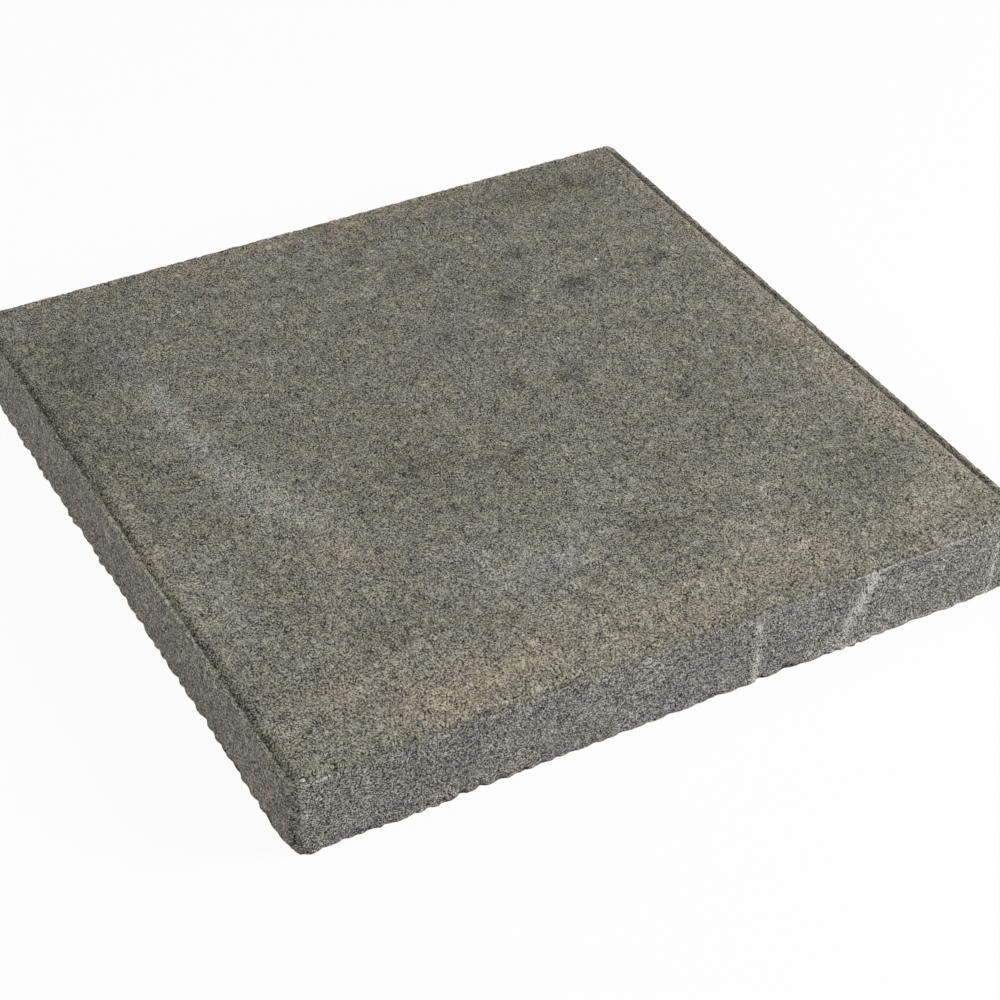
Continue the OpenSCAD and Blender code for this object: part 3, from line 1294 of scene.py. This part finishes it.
@dataclass
class Pebbles:
    """The pebbles that show in the slab, joined into one mesh.

    A scattered pebble is the smallest size plus a share of the spread, which is rarely large.
    """

    plan: Plan
    scattered: int = 900
    seed: int = 31
    margin: float = 12.0
    seat: float = 0.34
    lowest_crown: float = 0.03
    flatness: float = 2.6
    lumps: Texture = Texture(32, 0.9, 2)
    lump_depth: float = 0.28
    lump_shift: float = 7.1
    ball_steps: int = 2
    smallest: float = 1.4
    spread: float = 1.6
    rarity: int = 3
    slimness: Span = (0.6, 0.95)
    rise: Span = (-0.1, 0.2)
    kinds: tuple[tuple[Stone, float], ...] = (
        (Stone.GREY, 0.4), (Stone.CREAM, 0.2), (Stone.PINK, 0.15), (Stone.WHITE, 0.1),
        (Stone.DARK, 0.15),
    )
    placed: tuple[Pebble, ...] = tuple(Pebble(*row) for row in (
        (123, 295, 6, 5, 20, Stone.CREAM), (286, 288, 5, 4, 40, Stone.PINK),
        (326, 279, 4, 3, 10, Stone.RUST), (303, 267, 3.5, 2.5, 80, Stone.WHITE),
        (347, 328, 4.5, 3.5, 30, Stone.PINK), (368, 332, 4, 3, 60, Stone.WHITE),
        (316, 319, 4, 3, 10, Stone.CREAM), (230, 388, 4, 3, 30, Stone.CREAM),
        (235, 388, 3.5, 2.8, 110, Stone.WHITE), (438, 417, 5, 4, 20, Stone.WHITE),
        (422, 408, 4, 3.2, 70, Stone.CREAM), (440, 402, 3.5, 3, 20, Stone.PINK),
        (147, 427, 4, 3, 15, Stone.CREAM), (168, 417, 4, 3, 75, Stone.PINK),
        (295, 232, 4.6, 4, 0, Stone.GREY, 0.1), (401, 205, 4.5, 3.5, 35, Stone.CREAM),
        (343, 188, 4, 3, 0, Stone.GREY), (27, 201, 4, 3.2, 45, Stone.CREAM),
        (18, 67, 7, 5.5, 30, Stone.GREY, 0.3), (8, 3.5, 4.2, 3.2, 30, Stone.WHITE, -0.5),
        (12, 3, 2.4, 2, 70, Stone.PINK, -0.5), (16, 2.6, 2.6, 1.8, 10, Stone.WHITE, -0.5),
    ))

    def build(self) -> bpy.types.Object:
        """Makes the pebbles' mesh.

        Returns:
            The new piece.
        """
        pebbles = [*self.placed, *self.scatter(np.random.default_rng(self.seed))]
        ball, faces = self.ball()
        points, colours, rows = [], [], []
        for number, pebble in enumerate(pebbles):
            lumps = self.lumps.at(ball + self.lump_shift * number)
            rough = ball * (1.0 + self.lump_depth * lumps)[:, None]
            rows.append(faces + len(ball) * number)
            points.append(self.shape(pebble, rough))
            colours.append(np.tile(pebble.stone.value, (len(ball), 1)))
        piece = write_mesh("pebbles", np.concatenate(points), np.concatenate(rows))
        write_values(piece, "stone", np.concatenate(colours))
        piece.data.materials.append(StoneFinish().material())
        return piece

    def shape(self, pebble: Pebble, ball: Array) -> Array:
        """Brings a rough ball to one pebble's size and place.

        Args:
            pebble: The pebble.
            ball: The ball's points.

        Returns:
            The pebble's points.
        """
        sizes = (pebble.long / 2, pebble.wide / 2, pebble.wide / self.flatness)
        spin = np.array(Matrix.Rotation(math.radians(pebble.turn), 3, "Z"))
        shape = ball * sizes @ spin.T
        top = self.plan.height
        crown = min(top - self.seat + pebble.rise, top - self.lowest_crown)
        x, y = pebble.x - self.plan.half_x, pebble.y - self.plan.half_y
        return shape + (x, y, crown - shape[:, 2].max())

    def scatter(self, draw: np.random.Generator) -> list[Pebble]:
        """Draws the small pebbles that lie anywhere on the wearing face.

        Args:
            draw: The random draw.

        Returns:
            The pebbles.
        """
        kinds, odds = zip(*self.kinds)
        found = []
        for _ in range(self.scattered):
            x = draw.uniform(self.margin, 2 * self.plan.half_x - self.margin)
            y = draw.uniform(self.margin, 2 * self.plan.half_y - self.margin)
            long = self.smallest + self.spread * draw.random() ** self.rarity
            kind = kinds[draw.choice(len(kinds), p=odds)]
            wide = long * draw.uniform(*self.slimness)
            turn = draw.uniform(0, 180)
            found.append(Pebble(x, y, long, wide, turn, kind, draw.uniform(*self.rise)))
        return found

    def ball(self) -> tuple[Array, Array]:
        """A round mesh of even triangles.

        Returns:
            Its points and its faces.
        """
        net = bmesh.new()
        bmesh.ops.create_icosphere(net, subdivisions=self.ball_steps, radius=1.0)
        points = np.array([v.co for v in net.verts])
        faces = np.array([[v.index for v in f.verts] for f in net.faces])
        net.free()
        return points, faces


# ---------------------------------------------------------------- studio

def bearing(azimuth: float, elevation: float) -> Vector:
    """The way out from the slab. Azimuth 0 is its front and 90 its right side."""
    a, e = math.radians(azimuth), math.radians(elevation)
    return Vector((math.sin(a) * math.cos(e), -math.cos(a) * math.cos(e), math.sin(e)))


@dataclass(frozen=True)
class Softbox:
    """A large soft lamp that faces the slab, with its size and distance in metres."""

    name: str
    azimuth: float
    elevation: float
    level: float
    side: float = 1.6
    away: float = 3.0

    def hang(self) -> None:
        """Hangs the lamp. At level 1 a face turned to it shows its colour as written."""
        lamp = bpy.data.lights.new(self.name, "AREA")
        lamp.size = self.side
        lamp.energy = self.level * (math.pi * self.away) ** 2
        holder = bpy.data.objects.new(self.name, lamp)
        holder.location = self.away * bearing(self.azimuth, self.elevation)
        holder.rotation_euler = holder.location.to_track_quat("Z", "Y").to_euler()
        bpy.context.scene.collection.objects.link(holder)


@dataclass(frozen=True)
class Studio:
    """A plain pale room with soft light, and the camera in it.

    The floor's side is in metres. The camera's aim, on the wearing face, and its distance are in
    millimetres.
    """

    lamps: tuple[Softbox, ...] = (
        Softbox("key", 55, 30, 1.2),
        Softbox("fill", -100, 40, 0.35),
    )
    sky: float = 0.15
    floor_side: float = 8.0
    floor_grey: float = 0.8
    floor_white: float = 0.94
    aim_x: float = -28.85
    aim_y: float = -78.52
    distance: float = 1308.5
    azimuth: float = -29.876
    elevation: float = 38.764
    roll: float = 1.354
    lens: float = 85.385

    def build(self, plan: Plan) -> None:
        """Sets up the camera, the lamps, the floor and the world.

        Args:
            plan: The slab's outline.
        """
        bpy.context.scene.view_settings.view_transform = "Standard"
        self.set_camera(plan)
        for lamp in self.lamps:
            lamp.hang()
        self.lay_floor()
        self.light_world()

    def set_camera(self, plan: Plan) -> None:
        """Aims the camera at the wearing face.

        Args:
            plan: The slab's outline.
        """
        camera = bpy.data.objects.new("camera", bpy.data.cameras.new("camera"))
        camera.data.lens = self.lens
        out = bearing(self.azimuth, self.elevation)
        aim = Vector((self.aim_x, self.aim_y, plan.height)) * MM
        camera.location = aim + out * self.distance * MM
        level = out.to_track_quat("Z", "Y").to_matrix()
        tilted = level @ Matrix.Rotation(math.radians(self.roll), 3, "Z")
        camera.rotation_euler = tilted.to_euler()
        bpy.context.scene.collection.objects.link(camera)
        bpy.context.scene.camera = camera

    def lay_floor(self) -> None:
        """Lays a pale floor that looks near white and keeps the slab's shadow."""
        mesh = bpy.data.meshes.new("floor")
        half = self.floor_side / 2
        corners = [(-half, -half, 0), (half, -half, 0), (half, half, 0), (-half, half, 0)]
        mesh.from_pydata(corners, [], [(0, 1, 2, 3)])
        floor = bpy.data.objects.new("floor", mesh)
        bpy.context.scene.collection.objects.link(floor)
        net = Net(bpy.data.materials.new("floor"))
        grey = self.floor_grey
        plain = net.add("ShaderNodeBsdfDiffuse", {"Color": (grey, grey, grey, 1)})
        glow = net.add("ShaderNodeEmission", {"Color": (1, 1, 1, 1), "Strength": 1.0})
        share = self.floor_white * net.looked_at()
        both = net.add("ShaderNodeMixShader", {0: share, 1: plain, 2: glow})
        net.add("ShaderNodeOutputMaterial", {"Surface": both})
        mesh.materials.append(net.owner)

    def light_world(self) -> None:
        """Gives the world a plain level, and white where it is looked at."""
        net = Net(bpy.data.worlds.new("studio"))
        strength = net.looked_at().between(self.sky, 1.0)
        back = net.add("ShaderNodeBackground", {"Color": (1, 1, 1, 1), "Strength": strength})
        net.add("ShaderNodeOutputWorld", {"Surface": back})
        bpy.context.scene.world = net.owner


def main() -> None:
    """Builds the slab's skin, its pebbles and the studio."""
    logging.basicConfig(level=logging.INFO, format="%(message)s")
    skin = SlabSkin(Cast(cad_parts[NODE]))
    surface, faces = skin.lay()
    before = surface.points.copy()
    depth = Relief().cut(surface)
    skin.follow_arrises(surface, before)
    piece = write_mesh("slab_skin", surface.points, faces)
    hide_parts(NODE)
    WeatheringAndShade().dress(piece, surface, depth)
    skin.thin(piece, surface)
    piece.data.materials.append(ConcreteFinish().material())
    pebbles = Pebbles(skin.plan).build()
    for made in (piece, pebbles):
        made.data.calc_loop_triangles()
        log.info("%s: %d triangles", made.name, len(made.data.loop_triangles))
    Studio().build(skin.plan)


if __name__ == "__main__":
    main()
